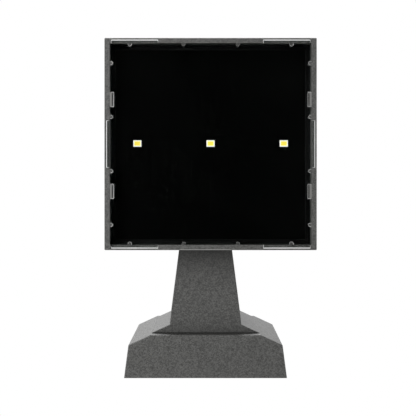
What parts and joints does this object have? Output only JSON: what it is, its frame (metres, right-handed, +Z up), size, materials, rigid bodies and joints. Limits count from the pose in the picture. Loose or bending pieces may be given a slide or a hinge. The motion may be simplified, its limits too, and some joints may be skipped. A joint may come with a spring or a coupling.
{
  "type": "solar wall light",
  "caption": "Solar wall light: faceted wall base, tapered arm and square head with a panel on top and LEDs under a clear cover.",
  "frame": {"origin": "centre of the flat face that lies on the wall", "axes": "+Y into the wall, so the light stands out towards -Y; +Z up the wall; X sideways; the LEDs face -Z"},
  "size_m": [0.09, 0.1455, 0.077],
  "materials": {
    "shell_plastic": "fine-grained dark grey",
    "screw_steel": "zinc plated",
    "clear_plastic": "clear, polished",
    "seal_rubber": "soft black",
    "board_black": "black solder mask",
    "led_white": "white package",
    "led_phosphor": "yellow phosphor",
    "holder_black": "moulded black",
    "battery_sleeve": "shrunk plastic sleeve",
    "contact_nickel": "nickel plated",
    "board_green": "green solder mask",
    "chip_black": "moulded resin",
    "tape_white": "foam tape",
    "panel_white": "white backing board",
    "cell_blue": "dark blue silicon",
    "panel_clear": "clear cover glass",
    "lead_red": "insulated wire",
    "lead_black": "insulated wire",
    "button_grey": "soft dark grey"
  },
  "bodies": {
    "fixture": {"wall_plate": "shell_plastic", "base_housing": "shell_plastic", "lock_screw": "screw_steel", "arm": "shell_plastic", "arm_screws": "screw_steel", "head_housing": "shell_plastic", "head_screws": "screw_steel", "clear_cover": "clear_plastic", "cover_seal": "seal_rubber", "led_board": "board_black", "led_packages": "led_white", "led_phosphors": "led_phosphor", "battery_holder": "holder_black", "battery_cell": "battery_sleeve", "battery_contacts": "contact_nickel", "driver_board": "board_green", "driver_chips": "chip_black", "driver_screws": "screw_steel", "panel_tape": "tape_white", "panel_back": "panel_white", "solar_cells": "cell_blue", "cell_ribbons": "contact_nickel", "panel_glass": "panel_clear", "panel_leads": "lead_red", "battery_leads": "lead_red", "led_leads": "lead_red", "switch_leads": "lead_black", "switch_body": "holder_black", "switch_gasket": "seal_rubber"},
    "push_button": {"switch_button": "button_grey"}
  },
  "joints": [
    {"name": "button_press", "type": "slide", "parent": "fixture", "child": "push_button", "axis": [0, -1, 0], "range_m": [0, 0.0015], "stiffness_N_per_m": 600, "springref_m": -0.001}
  ]
}
